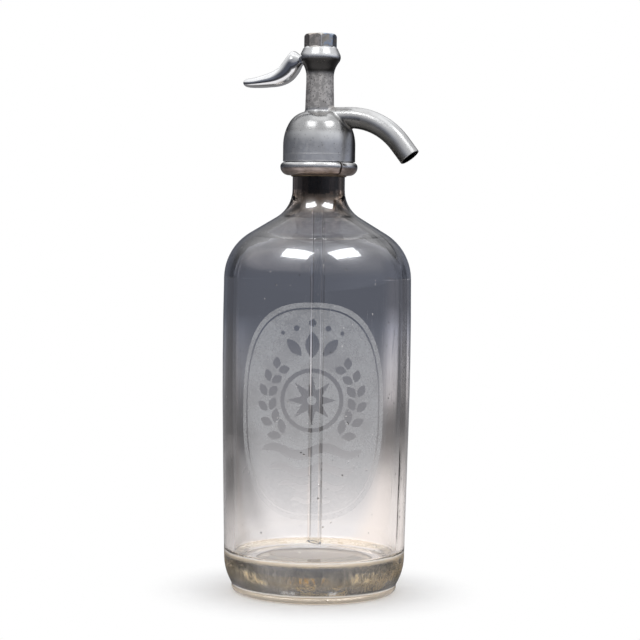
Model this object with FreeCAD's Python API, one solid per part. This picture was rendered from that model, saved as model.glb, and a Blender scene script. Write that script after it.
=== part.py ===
"""Soda siphon: a thick glass bottle under a cast metal dispensing head.

The frame stands at the centre of the bottle's foot, with +Z up the bottle's axis and +X towards the
spout. All sizes are in millimetres.
"""

import FreeCAD, Part
import math
import os

Vector = FreeCAD.Vector
UP = Vector(0, 0, 1)
ALONG_X = Vector(1, 0, 0)
ALONG_Y = Vector(0, 1, 0)

# ---------------------------------------------------------------- fits
clamp_gap = 0.05  # radial play between pieces that are screwed or clamped together
running_gap = 0.05  # radial play of a pin or stem in its hole
side_gap = 0.3  # side play of a moving piece in its slot
drop_in_gap = 0.3  # play round pieces that are dropped into place

# ---------------------------------------------------------------- bottle
foot_radius = 44.7  # of the foot's short upright side
foot_side_height = 4.3
foot_crease_radius = 0.3  # between that side and the heel's slope
foot_edge_radius = 3.2
heel_corner = (48.75, 12.5)  # radius and height
heel_radius = 28.0
body_radius = 51.15  # widest
widest_height = 128.0
side_blend_radius = 2400.0
ring_inner_radius = 32.0
push_up_depth = 1.6
push_up_edge_radius = 1.0
shoulder_corner_radius = 50.2
shoulder_drop = 56.8  # from the mouth to the shoulder's corner
shoulder_radius = 30.6
neck_radius = 14.1
neck_length = 35.0  # from the mouth to the corner where the shoulder's slope begins
neck_foot_radius = 17.4
body_wall = 5.2
shoulder_wall = 5.6
floor_crown = (23.0, 21.0)  # radius and height of the floor's raised middle
floor_crown_rounding = 12.0
floor_moat = (34.5, 19.5)  # of the shallow hollow round that middle
floor_moat_rounding = 12.0
floor_rim_height = 22.0  # where the floor meets the wall
inner_heel_radius = 2.2
neck_bore_radius = 9.3
neck_bore_foot_radius = 13.0
mouth_height = 242.5
mouth_edge_radius = 1.2
lip_radius = 16.2
lip_height = 6.0  # of the lip's straight side

# ---------------------------------------------------------------- liner and split collar
liner_thickness = 0.8
liner_show = 0.7  # of the liner below the collar
bead_radius = 20.8
bead_height = 7.0
bead_drop = 11.5  # from the collar's top to its underside
bead_top_radius = 2.3
bead_under_radius = 4.5
thread_radius = 17.9
collar_joint_gap = 0.4
collar_joint_angle = -33.5  # of the front joint, from +X

# ---------------------------------------------------------------- holder, dip tube and seals
gasket_radius = 15.6
gasket_thickness = 1.8
holder_flange_radius = 13.4
holder_flange_thickness = 2.6
holder_plug_radius = 5.9
holder_plug_length = 28.0  # below the mouth
holder_passage_radius = 2.2
tube_radius = 3.9
tube_bore_radius = 2.3
tube_foot_gap = 4.6  # between the bottle's floor and the tube's lower end
tube_foot_slant = 12.0  # degrees, so that the end can't seal on the floor
tube_grip_length = 24.0
sleeve_wall = 0.85
sleeve_length = 7.0
seal_radius = 12.0
seal_thickness = 1.2

# ---------------------------------------------------------------- head casting
skirt_gap = 0.3  # between the skirt's edge and the collar's bead
skirt_radius = 19.45
dome_side_rise = 14.2  # these rises are above the skirt's edge
dome_side_radius = 30.0
dome_shoulder = (14.4, 25.0)  # radius and rise
dome_shoulder_radius = 17.9
column_foot = (7.85, 26.9)
column_foot_blend = 1.5
column_waist_radius = 7.4
column_waist_rise = 42.7
column_waist_blend = 80.0
column_top_blend = 12.0
bulb_radius = 11.0  # of the rounded ridge, the next two rises are above the lever's pivot
bulb_ridge_rise = 0.5
bulb_ridge_blend = 4.0
bulb_lower_slope = 0.68  # radius gained for each millimetre of height
bulb_upper_slope = 0.47  # radius lost for each millimetre of height
cap_seat_rise = 5.5  # where the cone that the cap sits on begins
cap_seat_top = (7.15, 7.5)  # radius and rise of that cone's upper edge
thread_room = 7.2  # height of the skirt's thread
skirt_room_radius = 17.2
web_room_radius = 14.2
web_thickness = 3.0
chamber_radius = 5.8
chamber_height = 9.6
guide_length = 3.0
gland_bore_radius = 4.6
gland_bore_length = 16.4
bulb_room_radius = 6.2
bulb_room_slope_height = 3.4

# ---------------------------------------------------------------- spout
spout_radius = 5.7
spout_bore_radius = 4.85  # beyond the casting's stub
waterway_radius = 3.7  # in the casting and the spigot
spout_rise = 4.8  # of its axis above the floor of the valve chamber
spout_run = 17.2  # level stretch, from the head's axis
spout_bend_radius = 36.8
spout_turn = 51.6
spout_joint_turn = 13.0  # how far round the bend the pipe meets the casting's stub
spout_spigot_radius = 4.7
spigot_bore_reach = 3.0  # degrees of the bend past the joint before the bore widens
spout_tip_length = 9.3
spout_tip_rounding = 0.25
spout_mouth_flare = 0.2
spout_root_fillet = 1.3

# ---------------------------------------------------------------- valve
seat_nozzle_radius = 3.1
seat_nozzle_height = 0.9
seat_bore_radius = 2.0
valve_washer_radius = 4.1
valve_washer_thickness = 2.6
valve_washer_recess = 1.2
cup_wall = 0.5
cup_height = 3.6
stem_radius = 1.9
stem_thread_radius = 1.4
stem_thread_length = 1.8
crosshead_radius = 4.2
crosshead_height = 7.0
crosshead_slot_height = 4.1
crosshead_roof = 1.7  # above the slot
stem_tail_length = 5.4

# ---------------------------------------------------------------- stem gland
packing_height = 4.0
packing_ring_thickness = 1.0
gland_nut_thread = 8.0
gland_nut_head = 2.4
gland_nut_head_radius = 3.9
gland_nut_slot_width = 1.4
gland_nut_slot_depth = 1.6

# ---------------------------------------------------------------- lever
pivot_reach = 8.6  # from the head's axis, away from the spout
pivot_rise = 39.3  # above the underside of the web
pin_radius = 1.1
pin_recess = 0.15  # of its ends below the bulb's skin
hub_radius = 2.6
hub_half_width = 2.95
window_height_gap = 0.5
window_corner_radius = 0.9
window_inner_share = 0.8  # of the bulb room's radius, where the window's cut ends
tongue_half_width = 1.6
tongue_thickness = 2.0
nose_radius = 1.2
nose_play = 0.1
section_power = 2.6  # 2 is an ellipse; more is squarer
section_points = 16

# Sections of the lever's blade, from the knuckle to the tip: the upper and the lower point in the side
# view, each as a reach and a rise from the pivot, and the section's half width.
blade_sections = [
    ((-2.2, 2.5), (-1.6, -2.5), 2.6),
    ((-4.4, 3.3), (-2.3, -3.7), 3.4),
    ((-6.9, 4.6), (-3.2, -5.2), 4.4),
    ((-8.8, 3.3), (-4.3, -7.1), 5.0),
    ((-10.9, 0.8), (-5.7, -8.9), 5.1),
    ((-13.4, -2.6), (-8.2, -11.3), 5.2),
    ((-16.6, -5.3), (-12.6, -13.5), 5.2),
    ((-21.5, -7.3), (-19.0, -14.6), 5.1),
    ((-27.0, -8.9), (-26.0, -14.9), 4.8),
    ((-31.6, -9.7), (-31.2, -14.8), 4.2),
    ((-34.4, -10.2), (-34.2, -14.3), 3.3),
    ((-35.7, -11.1), (-35.6, -13.3), 2.1),
]

# ---------------------------------------------------------------- cap and spring
cap_across_flats = 16.2
cap_rise = 5.9  # of its top above the cone that it sits on
cap_crown_radius = 7.9
cap_shoulder = (8.75, 1.3)  # radius of the turned top, and its drop below the crown
cap_shoulder_radius = 1.4
cap_turn = 24.5  # degrees from +X to a corner
cap_seat_gap = 0.1  # between the cap and the cone
cap_spigot_length = 3.7
cap_bore_radius = 4.6
cap_roof_thickness = 2.0
cap_washer_thickness = 0.5
cap_washer_radius = 7.05
wire_radius = 0.45
spring_radius = 3.4
spring_turns = 4.5
spring_end_play = 0.05
spring_steps = 16  # flats in each turn
wire_sides = 8

# ---------------------------------------------------------------- heights that several pieces share
shoulder_corner = (shoulder_corner_radius, mouth_height - shoulder_drop)
neck_foot_height = mouth_height - neck_length
collar_top = mouth_height - lip_height
lip_root_height = collar_top - (lip_radius - neck_radius)
bead_underside = collar_top - bead_drop
bead_top = bead_underside + bead_height
skirt_edge = bead_top + skirt_gap
gasket_top = mouth_height + gasket_thickness
holder_top = gasket_top + holder_flange_thickness
web_underside = holder_top + seal_thickness
chamber_floor = web_underside + web_thickness
chamber_roof = chamber_floor + chamber_height
spout_height = chamber_floor + spout_rise
gland_seat = chamber_roof + guide_length
gland_mouth = gland_seat + gland_bore_length
pivot_height = web_underside + pivot_rise
bulb_top = pivot_height + cap_seat_top[1]
nozzle_top = chamber_floor + seat_nozzle_height
valve_washer_top = nozzle_top + valve_washer_thickness
cup_foot = valve_washer_top - valve_washer_recess
cup_top = cup_foot + cup_height
slot_top = pivot_height + nose_radius + nose_play
crosshead_top = slot_top + crosshead_roof
crosshead_foot = crosshead_top - crosshead_height
cap_foot = bulb_top + cap_washer_thickness
cap_top = bulb_top + cap_rise
cap_roof = cap_top - cap_roof_thickness
socket_radius = tube_radius + sleeve_wall
window_half_height = hub_radius + window_height_gap
ridge_turn = math.atan(bulb_lower_slope) + math.atan(bulb_upper_slope)
ridge_corner = bulb_radius + bulb_ridge_blend * (1 / math.cos(ridge_turn / 2) - 1)  # before its rounding
cap_seat_outer = ridge_corner - bulb_upper_slope * (cap_seat_rise - bulb_ridge_rise)


# ---------------------------------------------------------------- tools
def rounded_loop(corners):
    """A closed wire in the XZ plane through (radius, height, rounding) corners, with tangent arcs."""
    count = len(corners)
    points = [Vector(c[0], 0, c[1]) for c in corners]
    back = [(points[i - 1] - points[i]).normalize() for i in range(count)]
    ahead = [(points[(i + 1) % count] - points[i]).normalize() for i in range(count)]
    half = [back[i].getAngle(ahead[i]) / 2 for i in range(count)]
    reach = [corners[i][2] / math.tan(half[i]) if corners[i][2] else 0.0 for i in range(count)]
    for i in range(count):
        after = (i + 1) % count
        room = points[i].distanceToPoint(points[after])
        asked = reach[i] + reach[after]
        if asked > room:  # two roundings that would meet share the side between them
            reach[i] *= room / asked
            reach[after] *= room / asked
    edges = []
    for i in range(count):
        after = (i + 1) % count
        end = points[i]
        if reach[i] > 0:
            radius = reach[i] * math.tan(half[i])
            bisector = (back[i] + ahead[i]).normalize()
            middle = points[i] + bisector * (radius / math.sin(half[i]) - radius)
            begin, end = points[i] + back[i] * reach[i], points[i] + ahead[i] * reach[i]
            edges.append(Part.Arc(begin, middle, end).toShape())
        target = points[after] + back[after] * reach[after]
        if end.distanceToPoint(target) > 1e-5:
            edges.append(Part.LineSegment(end, target).toShape())
    return Part.Wire(edges)


def turned(corners):
    """A solid of revolution about Z from (radius, height, rounding) corners."""
    return Part.Face(rounded_loop(corners)).revolve(Vector(), UP, 360)


def ring(outer, inner, low, high):
    """A plain turned ring, or a disc where the inner radius is 0."""
    return turned([(inner, low, 0), (outer, low, 0), (outer, high, 0), (inner, high, 0)])


def rod(radius, low, high):
    return Part.makeCylinder(radius, high - low, Vector(0, 0, low), UP)


def cross_rod(radius, half_length, x, z):
    """A cylinder along Y, centred on the XZ plane."""
    return Part.makeCylinder(radius, 2 * half_length, Vector(x, -half_length, z), ALONG_Y)


def block(x_low, x_high, half_width, z_low, z_high):
    """A box that is centred on the XZ plane."""
    corner = Vector(x_low, -half_width, z_low)
    return Part.makeBox(x_high - x_low, 2 * half_width, z_high - z_low, corner)


def inner_corner(before, corner, after, wall_before, wall_after):
    """Where an outline's two sides meet once each has moved inwards by its own wall."""
    u = (corner[0] - before[0], corner[1] - before[1])
    v = (after[0] - corner[0], after[1] - corner[1])
    u_length, v_length = math.hypot(*u), math.hypot(*v)
    a = (corner[0] - u[1] / u_length * wall_before, corner[1] + u[0] / u_length * wall_before)
    b = (corner[0] - v[1] / v_length * wall_after, corner[1] + v[0] / v_length * wall_after)
    along = ((b[0] - a[0]) * v[1] - (b[1] - a[1]) * v[0]) / (u[0] * v[1] - u[1] * v[0])
    return a[0] + u[0] * along, a[1] + u[1] * along


# ---------------------------------------------------------------- bottle, tube and seals
def bottle():
    """Blown bottle: banded foot, tapered body, broad shoulder, and a lip for the collar to pull on."""
    widest = (body_radius, widest_height)
    neck_foot = (neck_radius, neck_foot_height)
    lip_root = (neck_radius, lip_root_height)
    neck_wall = neck_radius - neck_bore_radius
    inner_widest = inner_corner(heel_corner, widest, shoulder_corner, body_wall, body_wall)
    inner_shoulder = inner_corner(widest, shoulder_corner, neck_foot, body_wall, shoulder_wall)
    inner_neck = inner_corner(shoulder_corner, neck_foot, lip_root, shoulder_wall, neck_wall)
    return turned([
        (0, push_up_depth, 0),
        (ring_inner_radius - push_up_depth, push_up_depth, push_up_edge_radius),
        (ring_inner_radius, 0, push_up_edge_radius),
        (foot_radius, 0, foot_edge_radius),
        (foot_radius, foot_side_height, foot_crease_radius),
        (*heel_corner, heel_radius),
        (*widest, side_blend_radius),
        (*shoulder_corner, shoulder_radius),
        (*neck_foot, neck_foot_radius),
        (*lip_root, 0),
        (lip_radius, collar_top, 0),
        (lip_radius, mouth_height, mouth_edge_radius),
        (neck_bore_radius, mouth_height, mouth_edge_radius),
        (*inner_neck, neck_bore_foot_radius),
        (*inner_shoulder, shoulder_radius - shoulder_wall),
        (*inner_widest, side_blend_radius),
        (heel_corner[0] - body_wall, floor_rim_height, inner_heel_radius),
        (*floor_moat, floor_moat_rounding),
        (*floor_crown, floor_crown_rounding),
        (0, floor_crown[1], 0),
    ])


def dip_tube():
    """Glass tube from the holder to just above the floor, cut off on the slant."""
    low = floor_crown[1] + tube_foot_gap
    high = mouth_height - holder_plug_length + tube_grip_length
    tube = ring(tube_radius, tube_bore_radius, low, high)
    cutter = Part.makeBox(8 * tube_radius, 8 * tube_radius, tube_foot_gap)
    cutter.translate(Vector(-4 * tube_radius, -4 * tube_radius, -tube_foot_gap))
    cutter.rotate(Vector(), ALONG_Y, tube_foot_slant)
    cutter.translate(Vector(0, 0, low + tube_radius * math.tan(math.radians(tube_foot_slant))))
    return tube.cut(cutter)


def tube_sleeve():
    """Rubber ring that grips the tube in the holder's mouth."""
    low = mouth_height - holder_plug_length
    return ring(socket_radius, tube_radius, low, low + sleeve_length)


def tube_holder():
    """Moulded holder: a flange that is clamped on the mouth, and a long plug that takes the tube."""
    plug_foot = mouth_height - holder_plug_length
    sleeve_top = plug_foot + sleeve_length
    tube_top = plug_foot + tube_grip_length
    grip_radius = tube_radius + clamp_gap
    return turned([
        (socket_radius, plug_foot, 0),
        (holder_plug_radius, plug_foot, 0.4),
        (holder_plug_radius, gasket_top, 0),
        (holder_flange_radius, gasket_top, 0.3),
        (holder_flange_radius, holder_top, 0.3),
        (holder_passage_radius, holder_top, 0),
        (holder_passage_radius, tube_top, 0),
        (grip_radius, tube_top, 0),
        (grip_radius, sleeve_top, 0),
        (socket_radius, sleeve_top, 0),
    ])


def mouth_gasket():
    return ring(gasket_radius, holder_plug_radius + drop_in_gap, mouth_height, gasket_top)


def head_seal():
    return ring(seal_radius, holder_passage_radius + drop_in_gap, holder_top, web_underside)


# ---------------------------------------------------------------- collar
def neck_liner():
    """Thin sleeve between the glass and the collar, flared to follow the cone under the lip."""
    outer = neck_radius + liner_thickness
    # the flare's outside lies one thickness below the glass cone, measured square to it
    drop = liner_thickness * math.sqrt(2)
    knee_height = lip_root_height - drop + liner_thickness
    return turned([
        (neck_radius, bead_underside - liner_show, 0),
        (outer, bead_underside - liner_show, 0.2),
        (outer, knee_height, 0),
        (lip_radius, collar_top - drop, 0),
        (lip_radius, collar_top, 0),
        (neck_radius, lip_root_height, 0),
    ])


def collar_half(side):
    """Half of the split ring: a rolled bead under the skirt, and the thread inside it."""
    bore = neck_radius + liner_thickness + clamp_gap
    rim_bore = lip_radius + clamp_gap
    drop = liner_thickness * math.sqrt(2)
    full = turned([
        (bore, bead_underside, 0),
        (bead_radius, bead_underside, bead_under_radius),
        (bead_radius, bead_top, bead_top_radius),
        (thread_radius, bead_top, 0),
        (thread_radius, collar_top, 0.3),
        (rim_bore, collar_top, 0),
        (rim_bore, collar_top - drop, 0),
        (bore, collar_top - drop - (rim_bore - bore), 0),
    ])
    reach = 2 * bead_radius
    low = bead_underside - 1
    keep = Part.makeBox(reach, reach / 2, collar_top - low + 1)
    keep.translate(Vector(-reach / 2, collar_joint_gap / 2, low))
    keep.rotate(Vector(), UP, collar_joint_angle + (0 if side == "rear" else 180))
    return full.common(keep)


# ---------------------------------------------------------------- head
def spout_disc(radius, turn):
    """A round section of the spout, square to its axis, at an angle round the bend."""
    start = Vector(spout_run, 0, spout_height)
    disc = Part.Face(Part.Wire(Part.Circle(start, ALONG_X, radius).toShape()))
    disc.rotate(Vector(spout_run, 0, spout_height - spout_bend_radius), ALONG_Y, turn)
    return disc


def spout_bend(radius, turn_from, turn_to):
    """A stretch of the spout's bend."""
    centre = Vector(spout_run, 0, spout_height - spout_bend_radius)
    return spout_disc(radius, turn_from).revolve(centre, ALONG_Y, turn_to - turn_from)


def level_rod(radius, x_low, x_high):
    return Part.makeCylinder(radius, x_high - x_low, Vector(x_low, 0, spout_height), ALONG_X)


def lies_on(edge, shell):
    """Whether an edge's middle lies on a shell."""
    middle = edge.valueAt((edge.FirstParameter + edge.LastParameter) / 2)
    return shell.distToShape(Part.Vertex(middle))[0] < 1e-3


def head_outside():
    """The casting's outside: turned skirt, dome, column and bulb, with the spout's filleted stub."""
    ridge_height = pivot_height + bulb_ridge_rise
    cone_foot = ridge_height - (ridge_corner - column_waist_radius) / bulb_lower_slope
    body = turned([
        (0, skirt_edge, 0),
        (skirt_radius, skirt_edge, 0.3),
        (skirt_radius, skirt_edge + dome_side_rise, dome_side_radius),
        (dome_shoulder[0], skirt_edge + dome_shoulder[1], dome_shoulder_radius),
        (column_foot[0], skirt_edge + column_foot[1], column_foot_blend),
        (column_waist_radius, skirt_edge + column_waist_rise, column_waist_blend),
        (column_waist_radius, cone_foot, column_top_blend),
        (ridge_corner, ridge_height, bulb_ridge_blend),
        (cap_seat_outer, pivot_height + cap_seat_rise, 0.4),
        (cap_seat_top[0], bulb_top, 0.1),
        (0, bulb_top, 0),
    ])
    body.rotate(Vector(), UP, 90)  # the turned faces' seam lies clear of the spout
    stub = level_rod(spout_radius, 0, spout_run).fuse(spout_bend(spout_radius, 0, spout_joint_turn))
    casting = body.fuse(stub).removeSplitter()
    body_shell, stub_shell = body.Shells[0], stub.Shells[0]
    root = [e for e in casting.Edges if lies_on(e, body_shell) and lies_on(e, stub_shell)]
    return casting.makeFillet(spout_root_fillet, root)


def lever_window():
    """The slot in the bulb's side that the lever comes out of, with rounded corners."""
    half_width = hub_half_width + side_gap
    low, high = pivot_height - window_half_height, pivot_height + window_half_height
    slot = block(-2 * bulb_radius, -window_inner_share * bulb_room_radius, half_width, low, high)
    long_edges = [e for e in slot.Edges if abs(e.tangentAt(e.FirstParameter).x) > 0.99]
    return slot.makeFillet(window_corner_radius, long_edges)


def head_body():
    """Cast head: threaded skirt, valve chamber, stem gland and the room for the lever's knuckle."""
    thread_bore = thread_radius + clamp_gap
    room = turned([
        (0, skirt_edge - 1, 0),
        (thread_bore, skirt_edge - 1, 0),
        (thread_bore, skirt_edge + thread_room, 0),
        (skirt_room_radius, skirt_edge + thread_room, 0),
        (skirt_room_radius, gasket_top, 1.0),
        (web_room_radius, holder_top, 0.6),
        (web_room_radius, web_underside, 0),
        (0, web_underside, 0),
    ])
    chamber = rod(chamber_radius, web_underside - 1, chamber_roof)
    guide = rod(stem_radius + running_gap, chamber_roof - 1, gland_seat + 1)
    works = turned([
        (0, gland_seat, 0),
        (gland_bore_radius, gland_seat, 0),
        (gland_bore_radius, gland_mouth, 0),
        (bulb_room_radius, gland_mouth + bulb_room_slope_height, 0),
        (bulb_room_radius, bulb_top + 1, 0),
        (0, bulb_top + 1, 0),
    ])
    waterway = level_rod(waterway_radius, chamber_radius / 2, spout_run)
    socket = spout_bend(spout_spigot_radius + clamp_gap, 0, spout_joint_turn + 1)
    pin_hole = cross_rod(pin_radius, 2 * bulb_radius, -pivot_reach, pivot_height)
    return head_outside().cut([room, chamber, guide, works, waterway, socket, lever_window(), pin_hole])


def spout():
    """Bent pipe with a turned-down spigot in the casting's stub, and a countersunk mouth."""
    tip_centre = spout_disc(spout_radius, spout_turn).CenterOfMass
    angle = math.radians(spout_turn)
    ahead = Vector(math.cos(angle), 0, -math.sin(angle))
    pipe = spout_bend(spout_radius, spout_joint_turn, spout_turn)
    tip = Part.makeCylinder(spout_radius, spout_tip_length, tip_centre, ahead)
    mouth = tip_centre + ahead * spout_tip_length
    rim = [e for e in tip.Edges if e.Length > spout_radius and e.CenterOfMass.distanceToPoint(mouth) < 1e-3]
    tip = tip.makeFillet(spout_tip_rounding, rim)
    spigot = spout_bend(spout_spigot_radius, 0, spout_joint_turn)
    spigot_bore = spout_bend(waterway_radius, 0, spout_joint_turn + spigot_bore_reach)
    bore = spout_bend(spout_bore_radius, spout_joint_turn + spigot_bore_reach, spout_turn)
    tip_bore = Part.makeCylinder(spout_bore_radius, spout_tip_length, tip_centre, ahead)
    flare = Part.makeCone(spout_bore_radius, spout_bore_radius + spout_mouth_flare, spout_mouth_flare,
                          mouth - ahead * spout_mouth_flare, ahead)
    return pipe.fuse([tip, spigot]).cut([spigot_bore, bore, tip_bore, flare]).removeSplitter()


# ---------------------------------------------------------------- valve and gland
def valve_seat():
    """Plug screwed into the web from below, with the nozzle that the valve closes on."""
    outer = chamber_radius - clamp_gap
    return turned([
        (seat_bore_radius, web_underside, 0.4),
        (outer, web_underside, 0),
        (outer, chamber_floor, 0.3),
        (seat_nozzle_radius, chamber_floor, 0),
        (seat_nozzle_radius, nozzle_top, 0.4),
        (seat_bore_radius, nozzle_top, 0.4),
    ])


def valve_washer():
    return ring(valve_washer_radius, 0, nozzle_top, valve_washer_top)


def valve_cup():
    """Brass cup that holds the washer, tapped for the stem's end."""
    outer = valve_washer_radius + cup_wall
    return turned([
        (0, valve_washer_top, 0),
        (valve_washer_radius + clamp_gap, valve_washer_top, 0),
        (valve_washer_radius + clamp_gap, cup_foot, 0),
        (outer, cup_foot, 0.1),
        (outer, cup_top, 0.6),
        (stem_thread_radius, cup_top, 0),
        (stem_thread_radius, cup_top - stem_thread_length, 0),
        (0, cup_top - stem_thread_length, 0),
    ])


def valve_stem():
    """Stem with a slotted crosshead for the lever's nose and a tail that guides the spring."""
    spindle = turned([
        (0, cup_top - stem_thread_length, 0),
        (stem_thread_radius - clamp_gap, cup_top - stem_thread_length, 0),
        (stem_thread_radius - clamp_gap, cup_top, 0),
        (stem_radius, cup_top, 0),
        (stem_radius, crosshead_foot, 0),
        (crosshead_radius, crosshead_foot, 0.4),
        (crosshead_radius, crosshead_top, 0.3),
        (stem_radius, crosshead_top, 0),
        (stem_radius, crosshead_top + stem_tail_length, 0.6),
        (0, crosshead_top + stem_tail_length, 0),
    ])
    reach = 2 * crosshead_radius
    half_width = tongue_half_width + side_gap
    return spindle.cut(block(-reach, reach, half_width, slot_top - crosshead_slot_height, slot_top))


def stem_packing():
    return ring(gland_bore_radius - clamp_gap, stem_radius + running_gap, gland_seat,
                gland_seat + packing_height)


def packing_ring():
    low = gland_seat + packing_height
    return ring(gland_bore_radius - clamp_gap, stem_radius + running_gap, low,
                low + packing_ring_thickness)


def gland_nut():
    """Hollow screw that squeezes the packing, slotted for a forked key."""
    low = gland_seat + packing_height + packing_ring_thickness
    shoulder = low + gland_nut_thread
    top = shoulder + gland_nut_head
    nut = turned([
        (stem_radius + running_gap, low, 0),
        (gland_bore_radius - clamp_gap, low, 0.3),
        (gland_bore_radius - clamp_gap, shoulder, 0.2),
        (gland_nut_head_radius, shoulder, 0),
        (gland_nut_head_radius, top, 0.3),
        (stem_radius + running_gap, top, 0),
    ])
    reach = 2 * gland_nut_head_radius
    return nut.cut(block(-reach, reach, gland_nut_slot_width / 2, top - gland_nut_slot_depth, top + 1))


# ---------------------------------------------------------------- lever
def blade_section(upper, lower, half_width):
    """A closed smooth section of the blade, squarer than an ellipse."""
    high = Vector(upper[0] - pivot_reach, 0, upper[1] + pivot_height)
    low = Vector(lower[0] - pivot_reach, 0, lower[1] + pivot_height)
    centre, half = (high + low) / 2, (high - low) / 2
    points = []
    for i in range(section_points):
        angle = 2 * math.pi * i / section_points
        c, s = math.cos(angle), math.sin(angle)
        up = math.copysign(abs(c) ** (2 / section_power), c)
        across = math.copysign(abs(s) ** (2 / section_power), s) * half_width
        points.append(centre + half * up + ALONG_Y * across)
    curve = Part.BSplineCurve()
    curve.interpolate(Points=points, PeriodicFlag=True)
    return Part.Wire(curve.toShape())


def lever():
    """Cast thumb lever: swept blade, knuckle on the pin, and a tongue whose nose lifts the stem."""
    blade = Part.makeLoft([blade_section(*section) for section in blade_sections], True, False)
    hub = cross_rod(hub_radius, hub_half_width, -pivot_reach, pivot_height)
    tongue = block(-pivot_reach, 0, tongue_half_width, pivot_height - tongue_thickness / 2,
                   pivot_height + tongue_thickness / 2)
    nose = cross_rod(nose_radius, tongue_half_width, 0, pivot_height)
    pin_hole = cross_rod(pin_radius + running_gap, 2 * hub_half_width, -pivot_reach, pivot_height)
    return blade.fuse([hub, tongue, nose]).cut(pin_hole)


def lever_pin():
    """Pin through the bulb's cheeks, its ends just below the skin."""
    half_length = math.sqrt(bulb_radius ** 2 - (pivot_reach + pin_radius) ** 2) - pin_recess
    return cross_rod(pin_radius, half_length, -pivot_reach, pivot_height)


# ---------------------------------------------------------------- cap and spring
def cap_washer():
    return ring(cap_washer_radius, bulb_room_radius + clamp_gap, bulb_top, cap_foot)


def cap_cone(radius):
    """Height of the cap's conical underside at a radius."""
    slope = (cap_seat_top[1] - cap_seat_rise) / (cap_seat_outer - cap_seat_top[0])
    return bulb_top + cap_seat_gap - (radius - cap_seat_top[0]) * slope


def top_cap():
    """Eight-sided cap, turned over at the top and coned below, with a spigot that closes the bulb."""
    corner_radius = cap_across_flats / 2 / math.cos(math.pi / 8)
    rim = corner_radius + 0.3
    recess = cap_washer_radius + clamp_gap
    corners = [Vector(corner_radius * math.cos(math.pi * i / 4), corner_radius * math.sin(math.pi * i / 4),
                      cap_cone(rim)) for i in range(9)]
    prism = Part.Face(Part.makePolygon(corners)).extrude(UP * (cap_top - cap_cone(rim)))
    prism.rotate(Vector(), UP, cap_turn)
    envelope = turned([
        (0, cap_foot, 0),
        (recess, cap_foot, 0),
        (recess, cap_cone(recess), 0),
        (rim, cap_cone(rim), 0),
        (rim, cap_top - 2 * cap_shoulder[1], 0),
        (cap_shoulder[0], cap_top - cap_shoulder[1], cap_shoulder_radius),
        (cap_crown_radius, cap_top, cap_shoulder_radius),
        (0, cap_top, 0),
    ])
    spigot = rod(bulb_room_radius - clamp_gap, cap_foot - cap_spigot_length, cap_foot)
    bore = rod(cap_bore_radius, cap_foot - cap_spigot_length - 1, cap_roof)
    return prism.common(envelope).fuse(spigot).cut(bore)


def valve_spring():
    """Coil that presses the stem down onto the seat, from the cap's roof to the crosshead."""
    low = crosshead_top + spring_end_play + wire_radius
    high = cap_roof - spring_end_play - wire_radius
    steps = round(spring_turns * spring_steps)
    sections = []
    for i in range(steps + 1):
        corners = []
        for k in range(wire_sides + 1):
            angle = 2 * math.pi * k / wire_sides
            corners.append(Vector(spring_radius + wire_radius * math.cos(angle), 0,
                                  low + (high - low) * i / steps + wire_radius * math.sin(angle)))
        section = Part.makePolygon(corners)
        section.rotate(Vector(), UP, 360 * i / spring_steps)
        sections.append(section)
    return Part.makeLoft(sections, True, True)


def main():
    os.makedirs("parts", exist_ok=True)
    pieces = {
        "bottle": bottle(),
        "dip_tube": dip_tube(),
        "tube_sleeve": tube_sleeve(),
        "tube_holder": tube_holder(),
        "mouth_gasket": mouth_gasket(),
        "head_seal": head_seal(),
        "neck_liner": neck_liner(),
        "collar_half_front": collar_half("front"),
        "collar_half_rear": collar_half("rear"),
        "head_body": head_body(),
        "spout": spout(),
        "valve_seat": valve_seat(),
        "valve_washer": valve_washer(),
        "valve_cup": valve_cup(),
        "valve_stem": valve_stem(),
        "stem_packing": stem_packing(),
        "packing_ring": packing_ring(),
        "gland_nut": gland_nut(),
        "lever": lever(),
        "lever_pin": lever_pin(),
        "valve_spring": valve_spring(),
        "cap_washer": cap_washer(),
        "top_cap": top_cap(),
    }
    for name, shape in pieces.items():
        shape.exportStep(f"parts/{name}.step")
        box = shape.BoundBox
        print(f"{name:18} solids {len(shape.Solids)} valid {shape.isValid()} volume {shape.Volume:9.1f} "
              f"z {box.ZMin:7.2f} {box.ZMax:7.2f} x {box.XMin:7.2f} {box.XMax:7.2f}")


if __name__ == "__main__":
    main()
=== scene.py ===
"""Looks of the soda siphon: finishes, the frosted panel, fine marks in the glass, studio and camera.

Everything is in metres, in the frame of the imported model: +Z up, +X towards the spout. The camera stands
on the -Y side, turned VIEW_TURN about the bottle's axis towards the spout.
"""

import math

import bmesh
import bpy
from mathutils import Matrix, Vector

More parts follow.
